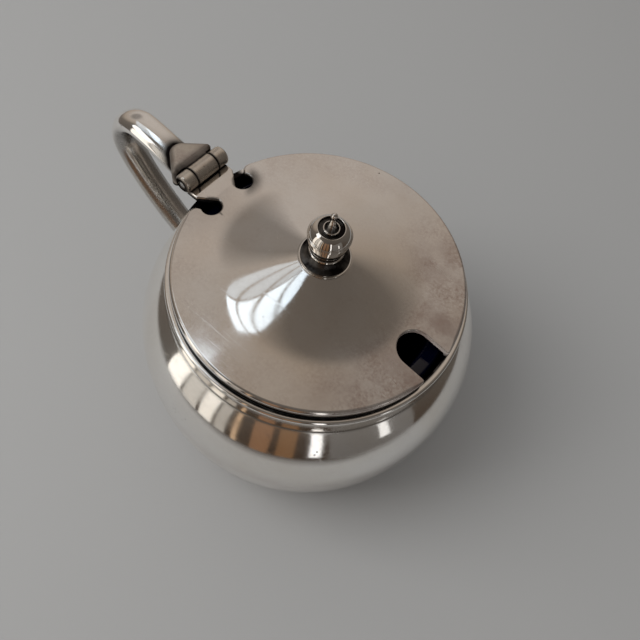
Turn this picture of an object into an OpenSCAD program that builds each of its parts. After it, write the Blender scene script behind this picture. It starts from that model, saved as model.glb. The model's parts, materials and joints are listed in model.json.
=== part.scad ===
// Round hinged pot with a loop handle, a notched lid, a turned finial and a glass liner.
// Millimetres, +Z up. The origin is the centre of the foot's underside.
// The handle and hinge are towards -X, the spoon notch is towards +X.

/* [Body] */
// Greatest outside diameter of the belly
belly_d = 75.2; // [72:0.2:84]
// Height of the greatest diameter above the table
belly_z = 28; // [24:0.5:30]
// Height of the mouth's top edge above the table
mouth_z = 49; // [45:0.5:56]
// Thickness of the body's sheet
sheet = 1; // [0.7:0.1:1.5]
// Outside diameter of the flat bottom
bottom_d = 54; // [48:0.5:60]
// Half width of the oval that the shoulder follows from the belly up to the neck
shoulder_w = 16; // [12:0.5:20]
// Fullness of the lower belly: 2 is an oval, and more is squarer
belly_full = 2.4; // [2:0.1:3]

/* [Mouth band] */
// Inside diameter of the mouth
mouth_d = 58.9; // [54:0.1:61]
// Width of the band's flat top
band_t = 1.65; // [1.2:0.05:2.2]
// Height of the mouth band
band_h = 5; // [4.8:0.1:7]
// Radius on the band's top outer edge
band_round = 0.6; // [0.2:0.05:0.8]

/* [Foot] */
// Thickness of the flat plate that the pot stands on
foot_h = 1.6; // [1:0.1:3]

/* [Handle] */
// Reach of the handle's centre line beyond the belly
handle_reach = 20.9; // [18:0.1:24]
// Width of the strap at its root
strap_w = 7; // [6:0.1:8]
// Width of the strap at its lower end
tail_w = 6.4; // [5:0.1:8]
// Thickness of the strap
strap_t = 4.8; // [3.6:0.1:4.8]
// Rise of the strap's centre line from its root to its crest
strap_rise = 5; // [4:0.1:6]
// Distance of the crest from the mouth band
crest_out = 20; // [19:0.1:22]
// Drop from the crest to the outermost point
turn_drop = 8.8; // [7:0.1:10]
// Height of the lower end's centre above the table
tail_z = 21.5; // [19:0.5:25]

/* [Lid] */
// Distance of the lid's edge inside the band's outer face
lid_inset = 1.1; // [0.6:0.1:1.6]
// Gap between the mouth's top edge and the closed lid
lid_gap = 0.9; // [0.3:0.1:0.9]
// Height of the lid's turned-down edge
lid_edge_h = 1.6; // [1.4:0.1:2.2]
// Thickness of the lid's sheet
lid_sheet = 1; // [0.7:0.1:1.2]
// Diameter at which the dome begins
dome_d = 41; // [36:0.5:44]
// Rise of the flange from the edge to the dome
flange_rise = 0.7; // [0.2:0.1:1.2]
// Rise of the dome from the flange to the finial
dome_rise = 4.75; // [3:0.05:8]
// How hollow the dome's sides are: 0 is a straight cone, and 1 is level where the dome begins
dome_hollow = 0.3; // [0:0.05:1]

/* [Spoon notch] */
// Width of the notch
notch_w = 7.5; // [6:0.1:9]
// Length of the notch from the lid's edge
notch_l = 9.4; // [7:0.1:10]
// Sideways offset of the notch from the middle
notch_side = -0.6; // [-1:0.1:1]

/* [Hinge] */
// Gap between the lid's edge and the barrel
barrel_out = 1.1; // [0.8:0.05:2]
// Height of the barrel's underside above the lid's lower edge
barrel_up = 1.15; // [1.1:0.05:1.6]
// Outside diameter of the knuckles
knuckle_d = 4.1; // [3.8:0.1:4.6]
// Length of the whole barrel
barrel_l = 12; // [11:0.1:15]
// Length of the middle knuckle
middle_l = 5.7; // [4.5:0.1:7]
// Diameter of the hinge pin
pin_d = 1.8; // [1.2:0.1:2.2]
// Thickness of the lid's tongue
tongue_t = 1.2; // [0.9:0.1:1.3]
// Width of the tongue's neck between the keyhole cuts
neck_w = 5; // [4:0.1:6]
// Radius of the keyhole cuts
keyhole_r = 2.1; // [1.6:0.1:2.4]
// Distance from the middle of each keyhole to the outer side of its slot
slot_w = 1.5; // [1.2:0.1:2]
// Length of the hinge block behind the pin
block_l = 8.7; // [8:0.1:10]
// Width of the hinge block's narrow end
block_w = 5; // [4:0.1:6]
// Width of the hinge block's ears beside the barrel
ear_w = 10.6; // [9.6:0.1:11]
// Radius on the corners of the ears
ear_round = 0.9; // [0.6:0.1:1.2]
// Height of the hinge block's top above the pin
block_up = 1.3; // [0.8:0.1:1.5]

/* [Finial] */
// Diameter of the collar's foot
collar_d = 10.4; // [9:0.1:13]
// Height of the collar
collar_h = 2.9; // [2:0.1:4]
// Greatest diameter of the bulb
bulb_d = 8.5; // [7.6:0.1:10]
// Height of the bulb
bulb_h = 6.7; // [5.5:0.1:8]
// Height of the bulb's ridge above its foot
ridge_h = 4.5; // [3.5:0.1:5]
// Diameter of the button
button_d = 3.2; // [2.8:0.1:4]
// Depth of the groove round the button
groove_h = 0.6; // [0.3:0.1:1]
// Height of the pip above the bulb
pip_h = 4.2; // [3:0.1:6]
// Diameter of the finial's screw
screw_d = 2.5; // [2:0.1:3]
// Thickness of the washer
washer_t = 0.6; // [0.4:0.1:1]

/* [Liner] */
// Thickness of the glass
glass = 1.8; // [1.4:0.1:2.4]
// Width of the liner's lip
lip_w = 3.5; // [3:0.1:5]
// Depth of the liner's lip below the mouth's top edge
lip_down = 2; // [1:0.1:4]
// Radius of the liner's bottom corner
liner_round = 6; // [4:0.5:10]

/* [Clearances] */
// Film between pieces that are soldered or screwed together
film = 0.02; // [0.01:0.01:0.04]
// Radial clearance of the pin in the lid's knuckles
pin_play = 0.04; // [0.02:0.01:0.08]
// Gap between neighbouring knuckles
knuckle_gap = 0.15; // [0.1:0.01:0.3]
// Clearance of the swinging pieces round the barrel
swing_gap = 0.35; // [0.25:0.05:0.5]
// Gap between the liner's lip and the mouth
lip_gap = 0.8; // [0.4:0.1:1.2]

/* [Hidden] */
$fn = 96;
// Steps along a long, a middling and a short curved stretch of a profile
steps = 18;
some = 10;
few = 6;
// Overshoot of cuts beyond the faces that they pass
past = 1;

// Body sizes
belly_r = belly_d / 2;
bottom_r = bottom_d / 2;
mouth_r = mouth_d / 2;
band_r = mouth_r + band_t;
neck_z = mouth_z - band_h;
floor_z = foot_h + sheet;
shoulder_a = acos(1 - (belly_r - band_r) / shoulder_w);
shoulder_h = (neck_z - belly_z) / sin(shoulder_a);

// Lid sizes
lid_r = band_r - lid_inset;
lid_z = mouth_z + lid_gap;
dome_r = dome_d / 2;
edge_z = lid_z + lid_edge_h;
flange_z = edge_z + flange_rise;
finial_z = flange_z + dome_rise;
seat_r = collar_d / 2;
hole_r = screw_d / 2 + film;

// Hinge sizes
knuckle_r = knuckle_d / 2;
swing_r = knuckle_r + swing_gap;
pin_x = -(lid_r + barrel_out + knuckle_r);
pin_z = lid_z + barrel_up + knuckle_r;
outer_l = (barrel_l - middle_l) / 2 - knuckle_gap;
tongue_z = edge_z + flange_rise / 3;
keyhole_in = 4;
keyhole_x = keyhole_in - lid_r;
keyhole_y = neck_w / 2 + keyhole_r;
block_x = pin_x - swing_gap;
block_mid = block_l - block_w / 2 - pin_x;
ear_u = swing_r - pin_x;
block_fall = 0.5;
bed_from = 0.18;
bed_to = 0.6;

// Handle sizes: the root runs below the barrel, and both ends run into the pot before they are cut
root_low = 1.8;
end_sink = 1.5;
root_z = pin_z - swing_r - strap_t / 2 - root_low;
crest_z = root_z + strap_rise;
crest_x = band_r + crest_out;
reach_x = belly_r + handle_reach;
turn_z = crest_z - turn_drop;

// A stretch of an ellipse about a centre, from one angle in degrees to another
function oval_arc(centre, rx, rz, from, to, n) =
    [for (i = [0 : n]) let (a = from + (to - from) * i / n) centre + [rx * cos(a), rz * sin(a)]];

// A point on a cubic curve with four control points
function cubic(p, t) =
    p[0] * pow(1 - t, 3) + 3 * p[1] * t * pow(1 - t, 2) + 3 * p[2] * t * t * (1 - t) + p[3] * t * t * t;

// A quarter of an oval from its lowest point out to its side, made squarer by the belly's fullness
function full_arc(centre, rx, rz, n) =
    [for (i = [0 : n]) let (a = 90 * i / n)
        centre + [rx * pow(sin(a), 2 / belly_full), -rz * pow(cos(a), 2 / belly_full)]];

// The shoulder up to the neck, or to the underside of the lip when it is set inwards
function shoulder_arc(out) =
    let (top = asin((neck_z + min(out, 0) - belly_z) / (shoulder_h + out)))
    oval_arc([belly_r - shoulder_w, belly_z], shoulder_w + out, shoulder_h + out, top / steps, top, steps);

// The belly's outline from the bottom's edge up to the neck, set out by a distance
function belly_line(out = 0) = concat(
    full_arc([bottom_r, belly_z], belly_r - bottom_r + out, belly_z - foot_h + out, steps),
    shoulder_arc(out)
);

// A list in the opposite order
function turned(list) = [for (i = [len(list) - 1 : -1 : 0]) list[i]];

// Wall of the pot: the belly's outline, a lip turned in under the mouth band, and the inner face
module body_shell() {
    color("silver") rotate_extrude() polygon(concat(
        [[0, foot_h]],
        belly_line(),
        [[mouth_r, neck_z], [mouth_r, neck_z - sheet]],
        turned(belly_line(-sheet)),
        [[0, floor_z]]
    ));
}

// Upright band round the mouth, with a rounded top edge
module mouth_band() {
    top = [band_r - band_round, mouth_z - band_round];
    color("silver") rotate_extrude() polygon(concat(
        [[mouth_r, neck_z + film], [band_r, neck_z + film]],
        oval_arc(top, band_round, band_round, 0, 90, few),
        [[mouth_r, mouth_z]]
    ));
}

// Flat plate under the bottom, with a half round edge
module foot() {
    half = (foot_h - film) / 2;
    color("silver") rotate_extrude() polygon(concat(
        [[0, 0]],
        oval_arc([bottom_r - half, half], half, half, -90, 90, some),
        [[0, foot_h - film]]
    ));
}

// Centre line of the strap in three cubic curves: root to crest, crest to outermost point, then the tail
tail_x = belly_r - end_sink;
root_run = crest_out / 4;
crest_run = 0.4 * crest_out;
turn_run = (reach_x - crest_x) / 2;
tail_run = (reach_x - tail_x) / 2;
handle_curves = [
    [
        [band_r - end_sink, root_z], [band_r + root_run, root_z + 0.4 * strap_rise],
        [crest_x - crest_run, crest_z], [crest_x, crest_z]
    ],
    [
        [crest_x, crest_z], [crest_x + 0.93 * turn_run, crest_z],
        [reach_x, crest_z - 0.42 * turn_drop], [reach_x, turn_z]
    ],
    [
        [reach_x, turn_z], [reach_x, turn_z - 0.25 * (turn_z - tail_z)],
        [tail_x + 0.95 * tail_run, tail_z + 0.17 * (turn_z - tail_z)], [tail_x, tail_z]
    ]
];
handle_steps = 12;
handle_points = [
    for (k = [0 : 2]) for (i = [(k == 0 ? 0 : 1) : handle_steps]) cubic(handle_curves[k], i / handle_steps)
];
strap_sides = 24;

// Direction of the centre line at one of its points
function handle_way(i) =
    let (a = handle_points[max(i - 1, 0)], b = handle_points[min(i + 1, len(handle_points) - 1)])
    (b - a) / norm(b - a);

// One oval ring of the strap
function strap_ring(i) =
    let (way = handle_way(i), up = [-way.y, way.x], p = handle_points[i])
    let (half = (strap_w + (tail_w - strap_w) * i / (len(handle_points) - 1)) / 2)
    [for (k = [0 : strap_sides - 1])
        let (a = 360 * k / strap_sides, q = p + up * strap_t / 2 * sin(a))
        [-q.x, half * cos(a), q.y]];

// Oval strap along the centre line
module strap() {
    rings = len(handle_points);
    points = [for (i = [0 : rings - 1]) each strap_ring(i)];
    sides = [
        for (i = [0 : rings - 2]) for (k = [0 : strap_sides - 1])
        let (a = i * strap_sides + k, b = i * strap_sides + (k + 1) % strap_sides)
        each [[a, a + strap_sides, b + strap_sides], [a, b + strap_sides, b]]
    ];
    first = [for (k = [0 : strap_sides - 1]) k];
    last = [for (k = [strap_sides - 1 : -1 : 0]) (rings - 1) * strap_sides + k];
    polyhedron(points, concat(sides, [first, last]));
}

// Height of the flat bed on the strap's upper side, on which the hinge block sits
function bed_z(u) =
    let (a = cubic(handle_curves[0], bed_from), b = cubic(handle_curves[0], bed_to))
    a.y + (u - a.x) * (b.y - a.y) / (b.x - a.x) + strap_t / 4;

// Loop handle, cut to the belly, to the mouth band and to the block's bed
module handle() {
    color("silver") difference() {
        strap();
        rotate_extrude() polygon(concat(
            [[0, foot_h]],
            belly_line(film),
            [[band_r + film, mouth_z + past], [0, mouth_z + past]]
        ));
        across(2 * strap_w) block_side(block_mid, film);
        block_solid(film);
    }
}

// A side outline drawn out evenly to both sides of the middle
module across(width) {
    rotate([90, 0, 0]) linear_extrude(width, center = true) children();
}

// Outline of the hinge block seen from above: a round end, and straight flanks that fan out to round ears
module block_plan(out) {
    half = block_w / 2;
    back = ear_u + ear_round;
    tip = ear_w / 2 - ear_round;
    run = block_mid - back;
    fan = atan2(tip, run) - asin((half - ear_round) / norm([run, tip]));
    round_end = oval_arc([-block_mid, 0], half + out, half + out, 90 + fan, 270 - fan, steps);
    corner = oval_arc([-back, tip], ear_round + out, ear_round + out, 0, 90 + fan, some);
    side = concat([[block_x + out, tip]], corner);
    polygon(concat(round_end, [for (p = turned(side)) [p.x, -p.y]], side));
}

// Side outline of the hinge block from its front to a distance, with a top that falls away from the barrel
module block_side(far, out) {
    front = block_x + out;
    top = pin_z + block_up + past * out / film;
    polygon([
        [front, bed_z(-front) - out], [-far, bed_z(far) - out], [-far, top - block_fall],
        [-ear_u, top], [front, top]
    ]);
}

// The hinge block before its cuts, set out by a distance
module block_solid(out) {
    intersection() {
        translate([0, 0, root_z]) linear_extrude(pin_z + block_up + 2 * past - root_z) block_plan(out);
        across(2 * ear_w) block_side(block_mid + block_w, out);
    }
}

// Fishtail block on the strap, with a seat for the middle knuckle and clearance round the outer ones
module hinge_block() {
    seat_half = middle_l / 2 + knuckle_gap / 2;
    color("silver") difference() {
        block_solid(0);
        barrel_cut(knuckle_r + film, 0, 2 * seat_half);
        for (side = [-1, 1]) barrel_cut(swing_r, side * (seat_half + ear_w / 2), ear_w);
    }
}

// A cylinder on the pin's axis with its middle at a distance along it
module barrel_cut(r, y, length) {
    translate([pin_x, y, pin_z]) rotate([90, 0, 0]) cylinder(r = r, h = length, center = true);
}

// One tube of the hinge
module knuckle(y, length, bore) {
    color("silver") difference() {
        barrel_cut(knuckle_r, y, length);
        barrel_cut(bore / 2, y, length + past);
    }
}

// Middle tube, fixed to the block, that grips the pin
module fixed_knuckle() {
    knuckle(0, middle_l, pin_d + 2 * film);
}

// Pin through the three tubes
module hinge_pin() {
    color("dimgray") barrel_cut(pin_d / 2, 0, barrel_l - knuckle_gap);
}

// Outer tubes on the lid's tongue
module lid_knuckle_left() {
    knuckle((outer_l - barrel_l) / 2, outer_l, pin_d + 2 * pin_play);
}
module lid_knuckle_right() {
    knuckle((barrel_l - outer_l) / 2, outer_l, pin_d + 2 * pin_play);
}

// Section of the lid from the screw hole to the turned-down edge: a dome with hollow sides, then a flange
module lid_section() {
    edge_round = lid_edge_h / 2;
    dome = [for (i = [0 : steps]) let (s = 1 - i / steps)
        [dome_r - (dome_r - seat_r) * s, flange_z + dome_rise * (s - dome_hollow * s * (1 - s))]];
    polygon(concat(
        [[hole_r, finial_z]],
        dome,
        oval_arc([lid_r - edge_round, edge_z - edge_round], edge_round, edge_round, 90, 0, few),
        [[lid_r, lid_z], [lid_r - lid_sheet, lid_z], [lid_r - lid_sheet, edge_z - lid_sheet]],
        [for (p = turned(dome)) p - [0, lid_sheet]],
        [[hole_r, finial_z - lid_sheet]]
    ));
}

// Spoon notch: a slot with a round inner end, open at the lid's edge
module notch_plan() {
    inner_x = lid_r - notch_l + notch_w / 2;
    translate([inner_x, notch_side]) {
        circle(d = notch_w);
        translate([0, -notch_w / 2]) square([lid_r, notch_w]);
    }
}

// Keyhole cut on one side of the tongue: a round hole, open to the edge in a slot that widens outwards
module keyhole_plan(side) {
    lean = 18;
    far = -2 * keyhole_in;
    wide = slot_w - far * tan(lean);
    translate([keyhole_x, side * keyhole_y]) scale([1, side]) {
        circle(r = keyhole_r);
        polygon([[0, -keyhole_r], [0, slot_w], [far, wide], [far, -keyhole_r]]);
    }
}

// Tongue from the flange to the barrel: a neck between the keyholes that widens to the barrel's length
module tongue_plan() {
    inner_x = keyhole_x + keyhole_r;
    end_x = pin_x + knuckle_r / 4;
    half = barrel_l / 2 - 2 * swing_gap;
    flare = [[inner_x, neck_w / 2], [keyhole_x, neck_w / 2], [swing_gap - lid_r, half], [end_x, half]];
    polygon(concat(flare, [for (p = turned(flare)) [p.x, -p.y]]));
}

// One-piece lid: the turned form with its tongue, less the notch, the keyholes and the barrel's seat
module lid() {
    color("silver") difference() {
        union() {
            difference() {
                rotate_extrude() lid_section();
                translate([0, 0, lid_z - past]) linear_extrude(finial_z - lid_z + past) {
                    notch_plan();
                    for (side = [-1, 1]) keyhole_plan(side);
                }
            }
            translate([0, 0, tongue_z - tongue_t]) linear_extrude(tongue_t) tongue_plan();
        }
        barrel_cut(swing_r, 0, middle_l + knuckle_gap);
        barrel_cut(knuckle_r + film, 0, 2 * barrel_l);
    }
}

// Flared foot below the knob: a cove that narrows upwards to a thin bead
module finial_collar() {
    bead = collar_h / 10;
    waist_r = 0.62 * seat_r;
    color("silver") translate([0, 0, finial_z + film]) rotate_extrude() polygon(concat(
        [[hole_r, 0], [seat_r, 0]],
        oval_arc([seat_r, collar_h - 2 * bead], seat_r - waist_r, collar_h - 4 * bead, -90, -180, some),
        oval_arc([waist_r, collar_h - bead], bead, bead, -90, 90, few),
        [[hole_r, collar_h]]
    ));
}

// Turned knob: bulb with a fine ridge, groove, button and pip, bored from below for the screw
module finial_knob() {
    bulb_r = bulb_d / 2;
    foot_r = 0.6 * bulb_r;
    top_r = 0.62 * bulb_r;
    ridge = 0.2;
    wide_r = bulb_r - ridge;
    ring_a = acos(top_r / wide_r);
    crown_h = (bulb_h - ridge_h) / sin(ring_a);
    button_r = button_d / 2;
    stem_r = 0.32 * button_r;
    stem_h = 0.7 * pip_h;
    tip_r = 1.25 * stem_r;
    groove_z = bulb_h - groove_h;
    outline = concat(
        oval_arc([foot_r, ridge_h], wide_r - foot_r, ridge_h, -90, -90 / few, few),
        oval_arc([wide_r, ridge_h], ridge, 2 * ridge, -90, 90, few),
        oval_arc([0, ridge_h], wide_r, crown_h, 2 * ring_a / few, ring_a, some),
        [[top_r - ridge, groove_z], [button_r - ridge, groove_z], [button_r, bulb_h]],
        oval_arc([button_r, bulb_h + stem_h], button_r - stem_r, stem_h, -90, -180, some),
        oval_arc([0, bulb_h + pip_h - tip_r], tip_r, tip_r, 0, 90, few)
    );
    color("silver") translate([0, 0, finial_z + collar_h + 2 * film]) difference() {
        rotate_extrude() polygon(concat([[0, 0]], outline));
        translate([0, 0, -past]) cylinder(r = hole_r, h = 0.7 * bulb_h + past);
    }
}

// Screw from below the lid into the knob, with a flat head
module finial_screw() {
    head_h = 0.6 * screw_d;
    head_z = finial_z - lid_sheet - washer_t - 2 * film;
    tip_z = finial_z + collar_h + bulb_h / 2;
    color("dimgray") union() {
        translate([0, 0, head_z - head_h]) cylinder(d = screw_d, h = tip_z - head_z);
        translate([0, 0, head_z - head_h]) cylinder(r = screw_d, h = head_h);
    }
}

// Washer between the lid and the screw's head
module finial_washer() {
    color("dimgray") translate([0, 0, finial_z - lid_sheet - washer_t - film]) difference() {
        cylinder(r = 0.8 * seat_r, h = washer_t);
        translate([0, 0, -past]) cylinder(r = hole_r, h = washer_t + 2 * past);
    }
}

// Blue glass cup with a rolled lip, standing on the pot's floor
module liner() {
    taper = 1;
    lip_r = mouth_r - lip_gap;
    in_r = lip_r - lip_w;
    out_r = in_r + glass;
    low = floor_z + film;
    top = mouth_z - lip_down;
    corner = [out_r - taper - liner_round, low + liner_round];
    bead = glass / 2;
    color([0.05, 0.08, 0.35, 0.6]) rotate_extrude() polygon(concat(
        [[0, low]],
        oval_arc(corner, liner_round, liner_round, -90, 0, some),
        [[out_r, top - 3 * glass]],
        oval_arc([lip_r - bead, top - bead], bead, bead, -90, 90, some),
        oval_arc([in_r + bead, top - bead], bead, bead, 90, 180, few),
        oval_arc(corner, liner_round - glass, liner_round - glass, 0, -90, some),
        [[0, low + glass]]
    ));
}

body_shell();
mouth_band();
foot();
handle();
hinge_block();
fixed_knuckle();
hinge_pin();
liner();
lid();
lid_knuckle_left();
lid_knuckle_right();
finial_collar();
finial_knob();
finial_screw();
finial_washer();
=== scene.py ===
# %% [markdown]
# # A silver-plated pot with a hinged lid
# This lesson dresses a imported CAD model of a small round pot: a bellied body, a loop handle, a hinged
# lid with a spoon notch, a turned finial and a blue glass liner. The CAD gives every place and size,
# so the first step only loads it.

# %% Load the imported model
import json
import bmesh
import bpy
import numpy as np
from mathutils import Matrix, Vector
from mathutils.geometry import delaunay_2d_cdt


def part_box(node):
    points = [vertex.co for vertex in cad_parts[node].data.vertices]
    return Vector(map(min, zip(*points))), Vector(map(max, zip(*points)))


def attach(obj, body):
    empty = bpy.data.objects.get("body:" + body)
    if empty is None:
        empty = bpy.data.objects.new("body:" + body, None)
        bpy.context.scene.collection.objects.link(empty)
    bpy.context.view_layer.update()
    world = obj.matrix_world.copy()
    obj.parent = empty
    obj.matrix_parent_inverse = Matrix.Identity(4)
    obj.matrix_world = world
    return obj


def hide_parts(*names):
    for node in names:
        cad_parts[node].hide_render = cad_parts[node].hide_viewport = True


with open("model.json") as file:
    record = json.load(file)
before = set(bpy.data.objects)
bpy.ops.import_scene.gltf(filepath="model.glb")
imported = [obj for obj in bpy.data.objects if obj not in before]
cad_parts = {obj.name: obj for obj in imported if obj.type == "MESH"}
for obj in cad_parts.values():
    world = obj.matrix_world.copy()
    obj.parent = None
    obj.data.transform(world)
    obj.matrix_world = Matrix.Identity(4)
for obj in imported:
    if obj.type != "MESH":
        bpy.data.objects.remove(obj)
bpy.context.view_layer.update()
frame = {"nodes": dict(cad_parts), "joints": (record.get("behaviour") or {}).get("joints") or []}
MM = 0.001
print("solids:", ", ".join(sorted(frame["nodes"])))

# %% [markdown]
# ## Sizes
# Every surface below must lie where its solid lies. Sizes that a solid's box shows are read from it.
# The rest are the maker's sizes: sheet thickness, curves and cut-outs, in millimetres. Neighbours that
# are soldered together or stand on each other keep a film of air between them.

# %% Read the pot's sizes


def span(node):
    """A solid's lowest and highest corner at rest, in millimetres."""
    low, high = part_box(node)
    return np.array(low) / MM, np.array(high) / MM


belly_r, neck_z = span("body_shell")[1][1:]
foot_h = span("body_shell")[0][2]
bottom_r = span("foot")[1][1]
band_r, mouth_z = span("mouth_band")[1][1:]
lid_low, lid_high = span("lid")
lid_z, finial_z = lid_low[2], lid_high[2]
lid_r = lid_high[1]
pin_x, _, pin_z = np.array(frame["joints"][0]["pos_m"]) / MM
knuckle_r = span("fixed_knuckle")[1][2] - pin_z
seat_r = span("finial_collar")[1][1]
belly_z, shoulder_w, belly_full = 28.0, 16.0, 2.4
mouth_r, sheet, film = 29.45, 1.0, 0.02
print(f"belly {2 * belly_r:.1f} across, mouth at {mouth_z:.1f}, lid {2 * lid_r:.1f} across")

# %% [markdown]
# ## Outlines
# Silver hollow ware is spun or turned, so most pieces are one outline carried round an axis. An edge
# that a hand has polished for years is never sharp, and a small round catches a line of light. So
# outlines are written as corners with a radius, and as stretches of ovals.

# %% Draw outlines with rounded corners


def oval(centre, rx, rz, start, end, count):
    """A stretch of an ellipse: centre + (rx cos a, rz sin a) for a from start to end, in degrees."""
    a = np.radians(np.linspace(start, end, count))
    return np.stack([centre[0] + rx * np.cos(a), centre[1] + rz * np.sin(a)], 1)


def softened(corners, step=0.8, turns=7, closed=True, close_by=0.12):
    """An outline from rows of x, y and radius. A corner becomes an arc that is tangent to both sides:
    it starts radius / tan(half the corner's angle) away from the corner. A straight stretch gets even
    points no further apart than step, and one more close by each of its ends."""
    corners = np.asarray(corners, float)
    spot, radius = corners[:, :2], corners[:, 2:3]
    back = np.roll(spot, 1, 0) - spot
    ahead = np.roll(spot, -1, 0) - spot
    back /= np.linalg.norm(back, axis=1, keepdims=True)
    ahead /= np.linalg.norm(ahead, axis=1, keepdims=True)
    half = np.arccos(np.clip((back * ahead).sum(1, keepdims=True), -1, 1)) / 2
    if not closed:
        half[[0, -1]], radius = np.pi / 2, radius * np.r_[0, np.ones(len(spot) - 2), 0][:, None]
    begin = spot + back * radius / np.tan(half)
    middle = back + ahead
    middle /= np.maximum(np.linalg.norm(middle, axis=1, keepdims=True), 1e-9)
    hub = spot + middle * radius / np.sin(half)
    way = np.sign(ahead[:, :1] * back[:, 1:] - ahead[:, 1:] * back[:, :1])
    sweep = way * (np.pi - 2 * half) * np.linspace(0, 1, turns)
    arm = begin - hub
    arcs = hub[:, None] + np.stack([
        arm[:, :1] * np.cos(sweep) - arm[:, 1:] * np.sin(sweep),
        arm[:, :1] * np.sin(sweep) + arm[:, 1:] * np.cos(sweep)], 2)
    rows = []
    for i in range(len(spot) if closed else len(spot) - 1):
        rows.append(arcs[i] if radius[i] > 0 else spot[i:i + 1])
        a, b = rows[-1][-1], arcs[(i + 1) % len(spot), 0]
        length = np.linalg.norm(b - a)
        near = min(close_by, length / 5) / max(length, 1e-9)
        runs = int(length / step) + 1
        share = np.unique(np.r_[near, np.arange(1, runs) / runs, 1 - near])
        rows.append(a + (b - a) * share[:, None])
    if not closed:
        rows.append(spot[-1:])
    return np.concatenate(rows)


print("softened corner:", softened([(0, 0, 1), (5, 0, 1), (5, 5, 1)]).shape)

# %% [markdown]
# ## From arrays to pieces
# A grid of points becomes a mesh by joining each point to its neighbours. Where a turned outline meets
# its axis, a whole row of points falls together: merging the doubles closes that pole. The signed
# volume then tells whether the faces look outwards. Two vertex values go with each mesh, and the
# finishes below read them. The first says how dark a place is painted, from 0 to 1: partly tarnish that
# has settled there, partly painted shade in creases, gaps and under edges. The second, dull, says how
# worn the polish is, from 0 to 1, or 2 where metal was sawn and never polished.

# %% Helpers that make a piece


def grid_faces(rows, columns, round_rows=False, round_columns=True):
    """Quads between neighbours on a grid of points that are numbered row by row."""
    i = np.arange(rows if round_rows else rows - 1)[:, None]
    j = np.arange(columns if round_columns else columns - 1)[None]
    i2, j2 = (i + 1) % rows, (j + 1) % columns
    quads = np.stack([i * columns + j, i * columns + j2, i2 * columns + j2, i2 * columns + j], -1)
    return quads.reshape(-1, 4)


def turned(outline, sides=192, closed=False):
    """An outline of (radius, height) rows carried round the upright axis:
    (r cos a, r sin a, z). A closed outline makes a ring, an open one starts and ends on the axis."""
    a = np.arange(sides) * 2 * np.pi / sides
    r, z = outline[:, :1], outline[:, 1:]
    points = np.stack([r * np.cos(a), r * np.sin(a), z + 0 * a], -1).reshape(-1, 3)
    return points, grid_faces(len(outline), sides, round_rows=closed)


def piece(name, points, faces, body, slot, nodes, patina_and_shade=0.0, dull=0.0, crease=50):
    """A closed, outward-facing mesh piece on a body, in place of solids, with its values for tarnish and
    painted shade, and for wear.
    """
    mesh = bpy.data.meshes.new(name)
    mesh.from_pydata((points * MM).tolist(), [], faces.tolist() if hasattr(faces, "tolist") else faces)
    for value_name, values in (("patina_and_shade", patina_and_shade), ("dull", dull)):
        mesh.attributes.new(value_name, "FLOAT", "POINT").data.foreach_set(
            "value", np.broadcast_to(np.float32(values), len(points)).copy())
    work = bmesh.new()
    work.from_mesh(mesh)
    bmesh.ops.remove_doubles(work, verts=work.verts, dist=2e-7)
    if work.calc_volume(signed=True) < 0:
        bmesh.ops.reverse_faces(work, faces=work.faces)
    open_edges = sum(not e.is_manifold for e in work.edges)
    volume = work.calc_volume() / MM ** 3
    work.to_mesh(mesh)
    work.free()
    mesh.polygons.foreach_set("use_smooth", np.ones(len(mesh.polygons), bool))
    mesh.set_sharp_from_angle(angle=np.radians(crease))
    obj = bpy.data.objects.new(name, mesh)
    bpy.context.scene.collection.objects.link(obj)
    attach(obj, body)
    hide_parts(*nodes)
    print(f"{name}: {len(mesh.polygons)} faces, {volume:.0f} mm3, {open_edges} open edges")
    return obj


def ramp(low, high, value):
    """0 up to low, 1 from high on, and a smooth S between them: 3 s squared - 2 s cubed."""
    s = np.clip((np.asarray(value) - low) / (high - low), 0, 1)
    return s * s * (3 - 2 * s)


def dark_round_spot(outline, spot, reach, most):
    """Darkening round a spot of an outline, for painted shade in a crease and for dirt at a join: most
    times exp(-(distance / reach) squared).
    """
    return most * np.exp(-(np.hypot(*(outline - spot).T) / reach) ** 2)


print("half way up a ramp:", ramp(0, 1, 0.5))

# %% [markdown]
# ## The body
# The wall is spun from one sheet: a flat bottom, a full belly, a sloping shoulder, and a lip turned in
# under the mouth band. Inside it is the same outline, one sheet thickness further in. Shade, with a
# little tarnish, is painted into the crease under the band, and dirt gathers at the foot. Hands and
# tables wear the lower half of the belly, so its polish is duller than the shoulder's.

# %% Spin the body
shoulder_h = (neck_z - belly_z) / np.sin(np.arccos(1 - (belly_r - band_r) / shoulder_w))


def belly_outline(out, count=60):
    """The belly from the bottom's edge up to the neck, moved out. Below its widest place it is a squared
    oval, (rx sin(a)^(2/n), -rz cos(a)^(2/n)), and above it a stretch of an ellipse."""
    a = np.radians(np.linspace(0, 90, count))
    low = np.stack([bottom_r + (belly_r - bottom_r + out) * np.sin(a) ** (2 / belly_full),
                    belly_z - (belly_z - foot_h + out) * np.cos(a) ** (2 / belly_full)], 1)
    top = np.degrees(np.arcsin((neck_z + min(out, 0) - belly_z) / (shoulder_h + out)))
    high = oval((belly_r - shoulder_w, belly_z), shoulder_w + out, shoulder_h + out, 0, top, count)
    return np.concatenate([low, high[1:]])


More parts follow.
